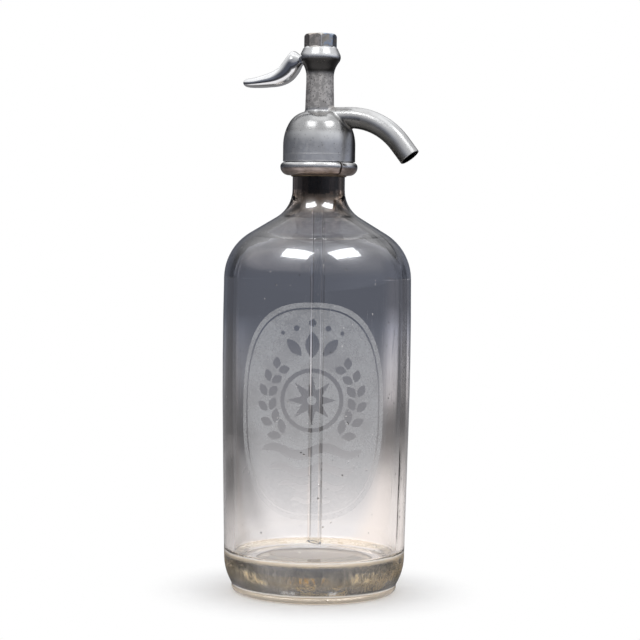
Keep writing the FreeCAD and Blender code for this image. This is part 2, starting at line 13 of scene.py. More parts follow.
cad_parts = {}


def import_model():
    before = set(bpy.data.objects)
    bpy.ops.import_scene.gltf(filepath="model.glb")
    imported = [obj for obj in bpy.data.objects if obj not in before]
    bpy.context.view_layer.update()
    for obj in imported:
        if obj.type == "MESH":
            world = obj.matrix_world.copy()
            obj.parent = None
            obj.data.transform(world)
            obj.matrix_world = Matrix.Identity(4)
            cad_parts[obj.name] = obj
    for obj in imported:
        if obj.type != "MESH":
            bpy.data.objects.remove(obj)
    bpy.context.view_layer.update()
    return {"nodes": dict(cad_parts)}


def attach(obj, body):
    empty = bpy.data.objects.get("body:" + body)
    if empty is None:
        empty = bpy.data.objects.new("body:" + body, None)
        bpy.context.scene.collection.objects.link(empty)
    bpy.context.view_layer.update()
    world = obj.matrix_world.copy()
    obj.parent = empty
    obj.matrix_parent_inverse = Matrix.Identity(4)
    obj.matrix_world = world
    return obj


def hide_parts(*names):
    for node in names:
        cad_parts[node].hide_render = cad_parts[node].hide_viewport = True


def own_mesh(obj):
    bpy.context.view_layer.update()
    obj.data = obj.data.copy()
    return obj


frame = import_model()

nodes = frame["nodes"]
STATIC = "bottle_and_head"
MM = 0.001

# ---------------------------------------------------------------- camera, from the photograph
PICTURE = 640  # pixels each way
FOCAL_PX = 1922.0  # focal length in picture pixels
CAMERA_DISTANCE = 1.038
CAMERA_HEIGHT = 0.1984
HORIZON_ROW = 225.0
AXIS_COLUMN = 317.0  # of the bottle's axis, half way up the picture
LEAN = math.radians(0.73)  # the picture's slight tilt
VIEW_TURN = math.radians(22)
SENSOR = 36.0  # mm


def set_camera():
    """The camera that took the photograph, as measured from it."""
    camera = bpy.data.cameras.new("camera")
    camera.sensor_width = SENSOR
    camera.lens = FOCAL_PX / PICTURE * SENSOR
    camera.clip_start = 0.05
    camera.clip_end = 60
    holder = bpy.data.objects.new("camera", camera)
    bpy.context.scene.collection.objects.link(holder)
    pitch = math.atan((PICTURE / 2 - HORIZON_ROW) / FOCAL_PX)
    yaw = math.atan((AXIS_COLUMN - PICTURE / 2) / FOCAL_PX)
    turn = Matrix.Rotation(yaw, 4, "Z") @ Matrix.Rotation(math.pi / 2 - pitch, 4, "X")
    holder.matrix_world = (Matrix.Rotation(VIEW_TURN, 4, "Z")
                           @ Matrix.Translation((0, -CAMERA_DISTANCE, CAMERA_HEIGHT)) @ turn
                           @ Matrix.Rotation(LEAN, 4, "Z"))
    bpy.context.scene.camera = holder


# ---------------------------------------------------------------- node helpers
def socket(sockets, identifier):
    """The socket with this identifier."""
    return next(s for s in sockets if s.identifier == identifier)


def fill_ramp(ramp, stops):
    """Sets a colour ramp to (place, (r, g, b)) stops."""
    while len(ramp.elements) < len(stops):
        ramp.elements.new(0.5)
    for element, (place, colour) in zip(ramp.elements, stops):
        element.position = place
        element.color = (*colour, 1)


class Tree:
    """A node tree with short calls for the nodes that the finishes and the studio use."""

    def __init__(self, owner, coordinates):
        owner.use_nodes = True
        self.owner = owner
        self.nodes = owner.node_tree.nodes
        self.links = owner.node_tree.links
        self.position = self.nodes.new("ShaderNodeTexCoord").outputs[coordinates]

    def put(self, target, value):
        """Links a socket, or sets it where the value is a plain one."""
        if isinstance(value, bpy.types.NodeSocket):
            self.links.new(value, target)
        else:
            target.default_value = value

    def vector_maths(self, operation, a, b=None):
        node = self.nodes.new("ShaderNodeVectorMath")
        node.operation = operation
        self.put(node.inputs[0], a)
        if b is not None:
            self.put(node.inputs[1], b)
        return node

    def maths(self, operation, a, b=0.0, c=0.0):
        node = self.nodes.new("ShaderNodeMath")
        node.operation = operation
        for target, value in zip(node.inputs, (a, b, c)):
            self.put(target, value)
        return node.outputs[0]

    def stretch(self, value, low, high, to_low=0.0, to_high=1.0, smooth=True):
        """to_low where the value is low, to_high where it is high, and a ramp between."""
        node = self.nodes.new("ShaderNodeMapRange")
        node.interpolation_type = "SMOOTHSTEP" if smooth else "LINEAR"
        self.put(node.inputs["Value"], value)
        node.inputs["From Min"].default_value = low
        node.inputs["From Max"].default_value = high
        node.inputs["To Min"].default_value = to_low
        node.inputs["To Max"].default_value = to_high
        return node.outputs["Result"]

    def band(self, value, a, b, c, d):
        """0 below a, 1 from b to c, and 0 above d."""
        return self.maths("MULTIPLY", self.stretch(value, a, b), self.stretch(value, c, d, 1.0, 0.0))

    def times(self, *values):
        result = values[0]
        for value in values[1:]:
            result = self.maths("MULTIPLY", result, value)
        return result

    def plus(self, *values):
        result = values[0]
        for value in values[1:]:
            result = self.maths("ADD", result, value)
        return result

    def scaled(self, stretch):
        """The position, with each axis scaled."""
        if stretch == (1, 1, 1):
            return self.position
        node = self.nodes.new("ShaderNodeMapping")
        node.inputs["Scale"].default_value = stretch
        self.links.new(self.position, node.inputs["Vector"])
        return node.outputs["Vector"]

    def noise(self, scale, detail=4.0, rough=0.55, stretch=(1, 1, 1), distort=0.0):
        node = self.nodes.new("ShaderNodeTexNoise")
        node.inputs["Scale"].default_value = scale
        node.inputs["Detail"].default_value = detail
        node.inputs["Roughness"].default_value = rough
        node.inputs["Distortion"].default_value = distort
        self.links.new(self.scaled(stretch), node.inputs["Vector"])
        return node.outputs["Fac"]

    def cells(self, scale):
        """Distance to the nearest of many scattered points."""
        node = self.nodes.new("ShaderNodeTexVoronoi")
        node.inputs["Scale"].default_value = scale
        self.links.new(self.position, node.inputs["Vector"])
        return node.outputs["Distance"]

    def axes(self, turn=0.0):
        """X, Y and Z of the position, in axes that are turned about Z."""
        vector = self.position
        if turn:
            node = self.nodes.new("ShaderNodeMapping")
            node.inputs["Rotation"].default_value = (0, 0, -turn)
            self.links.new(vector, node.inputs["Vector"])
            vector = node.outputs["Vector"]
        split = self.nodes.new("ShaderNodeSeparateXYZ")
        self.links.new(vector, split.inputs[0])
        return split.outputs[0], split.outputs[1], split.outputs[2]

    def mix(self, share, a, b, blend="MIX"):
        """Mix of two colours."""
        node = self.nodes.new("ShaderNodeMix")
        node.data_type = "RGBA"
        node.blend_type = blend
        for name, value in (("Factor_Float", share), ("A_Color", a), ("B_Color", b)):
            self.put(socket(node.inputs, name), value)
        return socket(node.outputs, "Result_Color")

    def less(self, value):
        """1 less the value."""
        return self.maths("SUBTRACT", 1.0, value)

    def ramp(self, value, stops):
        node = self.nodes.new("ShaderNodeValToRGB")
        fill_ramp(node.color_ramp, stops)
        self.put(node.inputs["Fac"], value)
        return node.outputs["Color"]

    def join(self, share, a, b):
        """Mix of two shaders."""
        node = self.nodes.new("ShaderNodeMixShader")
        self.put(node.inputs[0], share)
        self.links.new(a, node.inputs[1])
        self.links.new(b, node.inputs[2])
        return node.outputs[0]

    def glow(self, colour, strength=1.0, kind="ShaderNodeEmission"):
        """A shader that gives light."""
        node = self.nodes.new(kind)
        self.put(node.inputs["Color"], colour)
        node.inputs["Strength"].default_value = strength
        return node.outputs[0]


class Finish(Tree):
    """A material round one Principled shader."""

    def __init__(self, name):
        super().__init__(bpy.data.materials.new(name), "Object")
        self.material = self.owner
        self.shader = self.nodes["Principled BSDF"]
        self.output = self.nodes["Material Output"]

    def bump(self, height, distance, strength=1.0, under=None):
        """A normal with relief of this distance in metres, over the normal given as under."""
        node = self.nodes.new("ShaderNodeBump")
        node.inputs["Distance"].default_value = distance
        node.inputs["Strength"].default_value = strength
        self.put(node.inputs["Height"], height)
        if under is not None:
            self.links.new(under, node.inputs["Normal"])
        return node.outputs["Normal"]

    def set(self, **sockets):
        """Sets the shader's sockets, with names such as base_color."""
        for name, value in sockets.items():
            self.put(self.shader.inputs[name.replace("_", " ").title().replace("Ior", "IOR")], value)
        return self.material


def grey(value, warm=0.0):
    """A grey with a little warmth (or, below 0, coolness)."""
    return (value * (1 + warm), value, value * (1 - warm), 1)


# ---------------------------------------------------------------- glass
def let_light_through(t, shade):
    """Glass casts a pale shadow instead of a black one."""
    path = t.nodes.new("ShaderNodeLightPath")
    clear = t.nodes.new("ShaderNodeBsdfTransparent")
    clear.inputs["Color"].default_value = shade
    t.links.new(t.join(path.outputs["Is Shadow Ray"], t.shader.outputs[0], clear.outputs[0]),
                t.output.inputs["Surface"])


# Places on the bottle, in metres. Z_ is a height, OUT_ a distance from the axis, RIGHT_ a distance to the
# right of the axis in the picture. A pair says where a mask is 0 and where it is 1; four numbers say where
# it begins, is full, is full still, and ends.
Z_FOOT = (0.0205, 0.0175)
Z_FOOT_EDGE = (0.0050, 0.0040)
Z_FOOT_CREASE = (0.0041, 0.0044, 0.0048, 0.0053)
Z_SLATE = (0.0110, 0.0070)
Z_HEEL = (0.0194, 0.0200, 0.0218, 0.0224)
OUT_HEEL = ((0.0385, 0.0400), (0.0450, 0.0440))
Z_RING = (0.0200, 0.0209, 0.0229, 0.0234)
OUT_RING = (0.0480, 0.0490)
AWAY_RING = (0.022, 0.002)  # away from the camera; the ring shows on the near side
Z_FLOOR = (0.0170, 0.0185, 0.0250, 0.0260)
OUT_FLOOR = (0.0350, 0.0300)
OUT_FLOOR_LINE = (0.0228, 0.0236, 0.0246, 0.0254)
OUT_SKIN = (0.0440, 0.0450)
FACING = (0.004, -0.004)  # away from the camera
# The golden and amber marks below are painted reflections in the foot.
Z_LEFT_GOLD = (0.0085, 0.0115, 0.0145, 0.0175)
LEFT_GOLD_LEAN, LEFT_GOLD_PLACE = 1.42, 0.0136
LEFT_GOLD_WIDTH = (-0.0085, -0.0020, 0.0010, 0.0070)
Z_RIGHT_GOLD = (0.0105, 0.0125, 0.0160, 0.0175)
RIGHT_GOLD = (0.017, 0.023, 0.030, 0.035)
Z_FAR_GOLD = (0.0080, 0.0115, 0.0130, 0.0170)
Z_AMBER = (0.0105, 0.0125, 0.0145, 0.0160)
RIGHT_AMBER = (-0.018, -0.012, 0.004, 0.010)
Z_GLINT = (0.0048, 0.0062, 0.0066, 0.0082)
RIGHT_GLINTS = ((-0.0185, -0.0140, -0.0115, -0.0075), (0.0060, 0.0090, 0.0105, 0.0140))
Z_HAZE = (0.0070, 0.0100, 0.0170, 0.0200)
Z_RIPPLE = (0.0045, 0.0065, 0.0150, 0.0190)
Z_NECK_FACE, OUT_NECK_FACE = (0.2020, 0.2080), (0.0108, 0.0114)
Z_WORN = (0.170, 0.150)
TINT_TOP = 0.25  # height at the end of the tints below
# The dark tints near the top are painted shade in the neck.
GLASS_TINTS = [(0.00, (0.95, 0.94, 0.93)), (0.30, (0.955, 0.955, 0.96)), (0.76, (0.94, 0.945, 0.96)),
               (0.815, (0.86, 0.85, 0.84)), (0.840, (0.34, 0.31, 0.28)), (0.865, (0.09, 0.07, 0.06)),
               (1.00, (0.08, 0.06, 0.05))]
# Ring tints from its foot to its top: a tan stain that whitens to a painted highlight along its top edge.
RING_TINTS = [(0.00, (0.78, 0.66, 0.50)), (0.62, (0.86, 0.75, 0.60)), (0.74, (0.97, 0.93, 0.88)),
              (1.00, (1.0, 0.98, 0.95))]


def bottle_glass():
    """Old blown glass: clear sides, a neck tinted dark as painted shade, and a foot with painted golden
    reflections, painted glints and a tan edge.
    """
    t = Finish("bottle_glass")
    x, y, z = t.axes()
    right, away = t.axes(VIEW_TURN)[:2]
    out = t.maths("SQRT", t.plus(t.times(x, x), t.times(y, y)))
    grain = t.noise(330, 4, 0.7, stretch=(1, 1, 0.6))
    strokes = t.noise(420, 5, 0.75, stretch=(1, 1, 0.30), distort=0.5)
    patch = t.noise(28, 3, 0.55, stretch=(1, 1, 1.6))
    skin, facing = t.stretch(out, *OUT_SKIN), t.stretch(away, *FACING)

    foot = t.stretch(z, *Z_FOOT)
    edge = t.stretch(z, *Z_FOOT_EDGE)
    crease = t.band(z, *Z_FOOT_CREASE)
    heel = t.times(t.band(z, *Z_HEEL), t.stretch(out, *OUT_HEEL[0]), t.stretch(out, *OUT_HEEL[1]))
    # A tan stain ring on the near side, its top edge a painted highlight.
    ring = t.times(t.band(t.plus(z, t.times(t.plus(grain, -0.5), 0.0008)), *Z_RING),
                   t.stretch(out, *OUT_RING), t.stretch(away, *AWAY_RING))
    # A pale film on the inner floor: painted light that brightens the floor seen through the base.
    film = t.times(t.band(z, *Z_FLOOR), t.stretch(out, *OUT_FLOOR))
    film_line = t.times(film, t.band(out, *OUT_FLOOR_LINE))
    # Golden patches on the foot: painted reflections, on the near side by place and thinner on the far side.
    slant = t.plus(right, t.times(z, LEFT_GOLD_LEAN), LEFT_GOLD_PLACE)
    left_gold = t.times(t.band(slant, *LEFT_GOLD_WIDTH), t.band(z, *Z_LEFT_GOLD))
    right_gold = t.times(t.band(right, *RIGHT_GOLD), t.band(z, *Z_RIGHT_GOLD))
    near_gold = t.times(t.maths("MAXIMUM", left_gold, right_gold), facing, t.stretch(strokes, 0.37, 0.62))
    far_gold = t.times(t.band(z, *Z_FAR_GOLD), t.stretch(patch, 0.40, 0.56), t.stretch(strokes, 0.40, 0.62),
                       t.less(facing))
    gold = t.times(t.maths("MAXIMUM", near_gold, far_gold), skin)
    # Amber streaks on the foot's near side: painted reflection.
    amber = t.times(t.band(right, *RIGHT_AMBER), t.band(z, *Z_AMBER), facing,
                    t.stretch(strokes, 0.44, 0.60), skin)
    # White glints on the foot: painted highlights.
    glint = t.times(t.band(z, *Z_GLINT), facing, t.stretch(strokes, 0.34, 0.60),
                    t.plus(*[t.band(right, *places) for places in RIGHT_GLINTS]))

    colour = t.ramp(t.stretch(z, 0.0, TINT_TOP, smooth=False), GLASS_TINTS)
    # The neck's outer skin gets a lighter tint than its dark core; both are painted shade.
    neck_face = t.times(t.stretch(z, *Z_NECK_FACE), t.stretch(out, *OUT_NECK_FACE))
    smoke = t.mix(t.stretch(strokes, 0.35, 0.65), (0.66, 0.57, 0.44, 1), (0.99, 0.86, 0.64, 1))
    smoke = t.mix(t.stretch(z, *Z_SLATE), smoke, (0.74, 0.75, 0.78, 1))
    smoke = t.mix(skin, (0.995, 0.985, 0.970, 1), smoke)
    ring_tint = t.ramp(t.stretch(z, 0.0200, 0.0236, smooth=False), RING_TINTS)
    for mask, tint in ((neck_face, (0.46, 0.38, 0.32, 1)), (foot, smoke), (edge, (0.80, 0.70, 0.57, 1)),
                       (film, (0.98, 0.965, 0.94, 1)), (t.times(film_line, 0.7), (0.62, 0.50, 0.36, 1)),
                       (heel, (0.90, 0.80, 0.66, 1)), (ring, ring_tint), (gold, (0.90, 0.70, 0.42, 1)),
                       (glint, (0.97, 0.97, 0.98, 1)), (amber, (0.84, 0.50, 0.20, 1)),
                       (crease, (0.95, 0.90, 0.84, 1))):
        colour = t.mix(mask, colour, tint)

    haze = t.times(t.band(z, *Z_HAZE), skin, t.stretch(grain, 0.35, 0.70, 0.02, 0.17))
    # The share of the glass that turns opaque: real stains together with the painted reflections, highlights
    # and light above.
    deposits_and_painted_light = t.plus(t.times(gold, 0.50), t.times(glint, 0.62), t.times(amber, 0.30), t.times(crease, 0.55),
                     t.times(edge, 0.40), t.times(heel, 0.35), t.times(film, 0.06), t.times(film_line, 0.30),
                     t.times(ring, t.stretch(z, 0.0205, 0.0232, 0.30, 0.55)), haze)

    wave = t.noise(14, 2, 0.5, stretch=(1, 1, 0.45))
    ripple = t.noise(120, 3, 0.6, stretch=(1, 1, 1.3))
    seeds = t.stretch(t.cells(230), 0.13, 0.02)
    few = t.stretch(t.noise(160, 1), 0.60, 0.66)
    scratch = t.stretch(t.noise(260, 2, 0.8, stretch=(1, 1, 0.07), distort=1.5), 0.64, 0.70)
    normal = t.bump(wave, 0.00025)
    normal = t.bump(t.times(ripple, t.band(z, *Z_RIPPLE)), 0.0003, under=normal)
    normal = t.bump(t.times(seeds, few), 0.0006, under=normal)
    normal = t.bump(scratch, 0.00001, under=normal)
    rough = t.times(t.plus(t.stretch(t.noise(38, 5, 0.6), 0.52, 0.78, 0.0, 0.07), t.times(scratch, 0.12)),
                    t.stretch(z, *Z_WORN))
    t.set(base_color=colour, roughness=rough, transmission_weight=t.less(deposits_and_painted_light), ior=1.5, normal=normal)
    let_light_through(t, (0.86, 0.87, 0.88, 1))
    return t.material


def tube_glass():
    """The dip tube: thin clear glass with faint scratches along it."""
    t = Finish("tube_glass")
    scratch = t.noise(300, 3, 0.7, stretch=(1, 1, 0.05))
    rough = t.stretch(t.noise(120, 4), 0.4, 0.7, 0.02, 0.12)
    t.set(base_color=(0.97, 0.975, 0.98, 1), roughness=rough, transmission_weight=1.0, ior=1.16,
          normal=t.bump(scratch, 0.00001))
    let_light_through(t, (0.9, 0.9, 0.91, 1))
    return t.material


# ---------------------------------------------------------------- metals
def pits(t, scale, where, depth=0.16):
    """Little dark holes, kept to where the given mask is high."""
    return t.times(t.stretch(t.cells(scale), depth, 0.02), where)


BEND_CENTRE = (0.0172, 0.2191)  # x and z of the middle of the spout's bend
BEND_RADIUS = 0.0368
BEND_TURN = math.radians(51.6)
PIPE_BORE = (0.0054, 0.0052)  # distances from the centre line: the skin, and the bore


def spout_course(t):
    """Height above the spout's centre line, square to it, and distance from that line."""
    x, y, z = t.axes()
    out, up = t.maths("SUBTRACT", x, BEND_CENTRE[0]), t.maths("SUBTRACT", z, BEND_CENTRE[1])
    ahead = t.plus(t.times(out, math.cos(BEND_TURN)), t.times(up, -math.sin(BEND_TURN)))
    past = t.maths("MAXIMUM", ahead, 0.0)
    short = t.maths("MINIMUM", out, 0.0)
    reach = t.maths("SQRT", t.plus(t.times(out, out), t.times(up, up), t.times(past, past, -1.0),
                                   t.times(short, short, -1.0)))
    height = t.maths("SUBTRACT", reach, BEND_RADIUS)
    return height, t.maths("SQRT", t.plus(t.times(height, height), t.times(y, y)))


def pipe_colour(t):
    """The spout's colour: grey on top, dark olive underneath as painted shade with tarnish, black inside."""
    height, off_line = spout_course(t)
    cloud = t.noise(80, 5, 0.6, stretch=(0.5, 1, 0.5), distort=0.3)
    # Painted shade, with an olive tarnish tint, on the spout's lower half.
    below = t.stretch(t.plus(height, t.times(cloud, 0.002)), 0.0019, -0.0013)
    colour = t.mix(t.stretch(cloud, 0.34, 0.68), grey(0.60, 0.0), grey(0.74, -0.01))
    colour = t.mix(t.times(below, 0.92), colour, (0.085, 0.082, 0.074, 1))
    return t.mix(t.stretch(off_line, *PIPE_BORE), colour, grey(0.01)), cloud


# Places on the head, in metres, as for the bottle.
Z_COLUMN = (0.2590, 0.2620, 0.2785, 0.2812)
Z_BULB = (0.2795, 0.2850)
# The bulb's dark underside below is painted shade.
Z_BULB_UNDERSIDE = (0.2776, 0.2812, 0.2868, 0.2886)
Z_CROWN = ((0.2468, 0.2495), (0.2598, 0.2588))
Z_TURNED_LINE = (0.23590, 0.23615, 0.23630, 0.23655)
X_STUB, OFF_STUB = (0.0090, 0.0130), (0.0066, 0.0059)
X_ROOT, OFF_ROOT = (0.006, 0.010), (0.0056, 0.0062, 0.0070, 0.0092)
RIGHT_SHADE, Z_SHADE = (0.0162, 0.0182), (0.2550, 0.2500)


def cast_tin():
    """The head: satin dome with turned lines and painted shade on its top, right side and spout root, matt
    pitted column, polished bulb with an underside darkened as painted shade.
    """
    t = Finish("cast_tin")
    x, z = t.axes()[::2]
    right = t.axes(VIEW_TURN)[0]
    height, off_line = spout_course(t)
    cloud = t.noise(55, 6, 0.62, distort=0.5)
    fine = t.noise(420, 4, 0.7)
    column = t.band(z, *Z_COLUMN)
    bulb = t.stretch(z, *Z_BULB)
    stub = t.times(t.stretch(x, *X_STUB), t.stretch(off_line, *OFF_STUB))
    # Painted shade at the spout's root, darkest below the spout.
    root = t.times(t.band(off_line, *OFF_ROOT), t.stretch(x, *X_ROOT))
    # Painted shade down the dome's right side, below the spout.
    shaded = t.times(t.stretch(t.plus(right, t.times(t.plus(cloud, -0.5), 0.002)), *RIGHT_SHADE),
                     t.stretch(z, *Z_SHADE))
    # Painted shade: a darker band on the dome's top, below the column.
    crown = t.times(t.stretch(z, *Z_CROWN[0]), t.stretch(z, *Z_CROWN[1]))
    column_tint = t.mix(t.stretch(fine, 0.42, 0.58), grey(0.42, 0.05), grey(0.72, 0.04))
    colour = t.mix(t.stretch(cloud, 0.35, 0.66), grey(0.70, -0.01), grey(0.90, -0.01))
    for mask, tint in ((t.times(crown, 0.62), grey(0.40, 0.0)), (t.times(shaded, 0.88), grey(0.06, 0.02)),
                       (t.times(root, t.stretch(height, 0.001, -0.003, 0.40, 0.85)), grey(0.16, 0.02)),
                       (t.times(column, 0.85), column_tint), (bulb, grey(0.86, -0.01)),
                       (t.band(z, *Z_BULB_UNDERSIDE), grey(0.045, 0.03)), (stub, pipe_colour(t)[0])):
        colour = t.mix(mask, colour, tint)
    pitted = t.plus(t.times(column, 0.9), t.times(t.stretch(cloud, 0.60, 0.42), 0.5))
    spots = t.plus(pits(t, 560, pitted, 0.30), t.times(t.stretch(fine, 0.60, 0.70), column))
    colour = t.mix(t.maths("MINIMUM", t.times(spots, 0.8), 0.85), colour, grey(0.05, 0.03))
    turned = t.noise(900, 2, 0.5, stretch=(0.03, 0.03, 1))
    rough = t.plus(t.stretch(cloud, 0.3, 0.7, 0.28, 0.22), t.stretch(z, 0.2500, 0.2465, 0.0, 0.12),
                   t.times(column, 0.31), t.times(bulb, 0.05), t.times(root, 0.2),
                   t.stretch(fine, 0.4, 0.7, -0.03, 0.06))
    normal = t.bump(t.less(spots), 0.00012, 0.7)
    normal = t.bump(t.band(z, *Z_TURNED_LINE), 0.00006, 0.6, under=normal)
    normal = t.bump(turned, 0.000012, 0.6, under=normal)
    return t.set(base_color=colour, metallic=1.0, roughness=rough, normal=normal)


def drawn_tin():
    """The spout: a softly brushed pipe, dark inside, and dark olive underneath as painted shade with
    tarnish.
    """
    t = Finish("drawn_tin")
    colour, cloud = pipe_colour(t)
    brush = t.noise(520, 3, 0.6, stretch=(0.15, 1, 0.15))
    spots = pits(t, 520, t.stretch(cloud, 0.50, 0.38))
    colour = t.mix(t.times(spots, 0.7), colour, grey(0.06, 0.04))
    rough = t.plus(t.stretch(cloud, 0.3, 0.7, 0.36, 0.28), t.stretch(brush, 0.35, 0.7, -0.02, 0.07))
    normal = t.bump(brush, 0.000012, 0.6)
    normal = t.bump(t.less(spots), 0.00008, 0.6, under=normal)
    return t.set(base_color=colour, metallic=1.0, roughness=rough, normal=normal)


JOINT_TURN = math.radians(-33.5)  # azimuth of the collar's front joint
Z_TARNISH_AND_SHADE = (0.2303, 0.2290)  # of the collar's brown lower half: tarnish and painted shade


def collar_tin():
    """The collar: bright rolled top, brown lower half that is tarnish and painted shade, grime along the
    joint.
    """
    t = Finish("collar_tin")
    z = t.axes()[2]
    across = t.axes(JOINT_TURN)[1]
    cloud = t.noise(130, 5, 0.65, stretch=(1, 1, 2))
    fine = t.noise(600, 3, 0.7)
    # The lower half is darkened: tarnish and painted shade.
    low = t.stretch(t.plus(z, t.times(cloud, 0.0012)), *Z_TARNISH_AND_SHADE)
    bright = t.mix(t.stretch(cloud, 0.35, 0.65), grey(0.74, 0.0), grey(0.92, 0.0))
    brown = t.mix(t.stretch(cloud, 0.35, 0.62), (0.24, 0.195, 0.17, 1), (0.44, 0.37, 0.34, 1))
    colour = t.mix(low, bright, brown)
    wander = t.maths("ABSOLUTE", t.plus(across, t.times(t.plus(t.noise(330, 2), -0.5), 0.0016)))
    grime = t.stretch(wander, 0.0008, 0.0002)
    colour = t.mix(t.times(grime, 0.9), colour, (0.05, 0.035, 0.025, 1))
    rough = t.plus(t.stretch(cloud, 0.3, 0.7, 0.30, 0.20), t.times(grime, 0.3), t.times(low, 0.08))
    normal = t.bump(fine, 0.00002, 0.6)
    normal = t.bump(cloud, 0.00015, 0.6, under=normal)
    return t.set(base_color=colour, metallic=1.0, roughness=rough, normal=normal)


# Places on the lever: x of its tip's half, and upward tilts of its surface (the normal's z).
X_TIP = (-0.021, -0.028)
ROOT_FLANK = (-0.30, -0.10, 0.06, 0.30)
TIP_FLANK = (-0.34, -0.20, -0.12, 0.04)
UPPER_SIDE = (0.30, 0.56)
TIP_SHARE = 0.34  # how much sooner the upper side begins near the tip
LIFT = 0.30  # of the upper side's shading towards the ceiling


def lever_tin():
    """The lever: polished by thumbs, with a painted highlight on top, painted shade along its flank, and
    small scratches.
    """
    t = Finish("polished_tin")
    cloud = t.noise(90, 5, 0.6)
    scratch = t.noise(700, 3, 0.7, stretch=(0.12, 1, 1))
    split = t.nodes.new("ShaderNodeSeparateXYZ")
    t.links.new(t.nodes.new("ShaderNodeTexCoord").outputs["Normal"], split.inputs[0])
    upward = split.outputs[2]
    lift = t.nodes.new("ShaderNodeCombineXYZ")
    t.links.new(t.stretch(upward, 0.02, 0.22, 0.0, LIFT), lift.inputs["Z"])
    lifted = t.vector_maths("ADD", t.nodes.new("ShaderNodeNewGeometry").outputs["Normal"], lift.outputs[0])
    unit = t.vector_maths("NORMALIZE", lifted.outputs[0])
    tip = t.stretch(t.axes()[0], *X_TIP)
    # Painted shade: a dark band along the lever's flank, by the tilt of its surface.
    flank = t.plus(t.times(t.less(tip), t.band(upward, *ROOT_FLANK)),
                   t.times(tip, t.band(upward, *TIP_FLANK)))
    colour = t.mix(t.stretch(cloud, 0.36, 0.62), grey(0.86, -0.01), grey(0.96, -0.01))
    colour = t.mix(t.times(flank, 0.8), colour, (0.20, 0.21, 0.24, 1))
    rough = t.plus(t.stretch(cloud, 0.3, 0.7, 0.15, 0.07), t.stretch(scratch, 0.5, 0.75, 0.0, 0.08))
    # Painted highlight: the lever's upper side is pale and hardly metallic.
    painted_highlight_top = t.times(t.stretch(t.plus(upward, t.times(tip, TIP_SHARE)), *UPPER_SIDE),
                    t.stretch(cloud, 0.30, 0.50, 0.8, 1.0))
    return t.set(base_color=colour, metallic=t.stretch(painted_highlight_top, 0.0, 1.0, 1.0, 0.10), roughness=rough,
                 normal=t.bump(scratch, 0.00001, 0.5, under=unit.outputs[0]))


CAP_TURN = math.radians(24.5)  # round from +X to the corners of the cap


def cap_tin():
    """The cap: dull, with a brown side and a blue side that are painted reflections, and a painted highlight
    along its front corner.
    """
    t = Finish("dull_tin")
    right = t.axes(VIEW_TURN)[0]
    cloud = t.noise(210, 5, 0.65, distort=0.6)
    # Painted reflections: brown on the left side of the cap, blue on the right.
    side = t.stretch(t.plus(right, t.times(t.plus(cloud, -0.5), 0.012)), -0.0015, 0.0030)
    brown = t.mix(t.stretch(cloud, 0.40, 0.58), (0.42, 0.40, 0.37, 1), (0.84, 0.76, 0.68, 1))
    blue = t.mix(t.stretch(cloud, 0.40, 0.58), (0.58, 0.53, 0.45, 1), (0.50, 0.60, 0.74, 1))
    colour = t.mix(side, brown, blue)
    along, across = t.axes(CAP_TURN)[:2]
    # Painted highlight along the cap's front corner.
    painted_corner_highlight = t.times(t.stretch(t.maths("ABSOLUTE", along), 0.0005, 0.0001), t.stretch(across, 0.0, -0.002))
    colour = t.mix(t.times(painted_corner_highlight, 0.7), colour, grey(0.85))
    spots = pits(t, 480, t.stretch(cloud, 0.56, 0.40), 0.25)
    colour = t.mix(t.times(spots, 0.7), colour, grey(0.04))
    rough = t.stretch(cloud, 0.3, 0.7, 0.42, 0.28)
    normal = t.bump(cloud, 0.00020, 0.7)
    normal = t.bump(t.less(spots), 0.0001, 0.6, under=normal)
    return t.set(base_color=colour, metallic=1.0, roughness=rough, normal=normal)


def plain(name, colour, spread, rough, metallic=0.0, grain=600, depth=0.00002):
    """A finish with a fine grain and slow cloudy changes of shade."""
    t = Finish(name)
    fine = t.noise(grain, 3)
    dark = tuple(c * (1 - spread) for c in colour[:3]) + (1,)
    tone = t.mix(t.stretch(t.noise(90, 4), 0.35, 0.65), dark, colour)
    roughness = t.stretch(fine, 0.3, 0.7, rough - 0.07, rough + 0.07)
    return t.set(base_color=tone, metallic=metallic, roughness=roughness, normal=t.bump(fine, depth, 0.6))


def dress(material, *names):
    """Gives a finish to these CAD nodes."""
    for name in names:
        mesh = nodes[name].data
        mesh.materials.clear()
        mesh.materials.append(material)


def dress_nodes():
    """Gives every CAD node its finish."""
    dress(bottle_glass(), "bottle")
    dress(tube_glass(), "dip_tube")
    dress(cast_tin(), "head_body")
    dress(drawn_tin(), "spout")
    dress(collar_tin(), "collar_half_front", "collar_half_rear")
    dress(lever_tin(), "lever")
    dress(cap_tin(), "top_cap")
    dress(plain("pin_steel", grey(0.42), 0.3, 0.35, 1.0), "lever_pin")
    dress(plain("black_rubber", (0.03, 0.028, 0.027, 1), 0.4, 0.6), "tube_sleeve", "mouth_gasket",
          "head_seal", "valve_washer", "stem_packing")
    dress(plain("vulcanite", (0.022, 0.015, 0.011, 1), 0.6, 0.28, 0.0, 260, 0.00012), "tube_holder")
    dress(plain("aged_fibre", (0.12, 0.085, 0.05, 1), 0.6, 0.7, 0.0, 300, 0.00015),
          "neck_liner", "cap_washer")
    dress(plain("brass", (0.70, 0.50, 0.22, 1), 0.3, 0.3, 1.0), "valve_seat", "valve_cup", "valve_stem",
          "packing_ring", "gland_nut")
    dress(plain("spring_wire", grey(0.42), 0.3, 0.35, 1.0), "valve_spring")


def working_spring():
    """The valve spring, as its own copy fixed with the bottle and head, the original hidden."""
    rest = nodes["valve_spring"]
    coil = bpy.data.objects.new("spring_coil", rest.data.copy())
    coil.matrix_world = rest.matrix_world
    bpy.context.scene.collection.objects.link(coil)
    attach(coil, STATIC)
    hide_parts("valve_spring")
    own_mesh(coil)


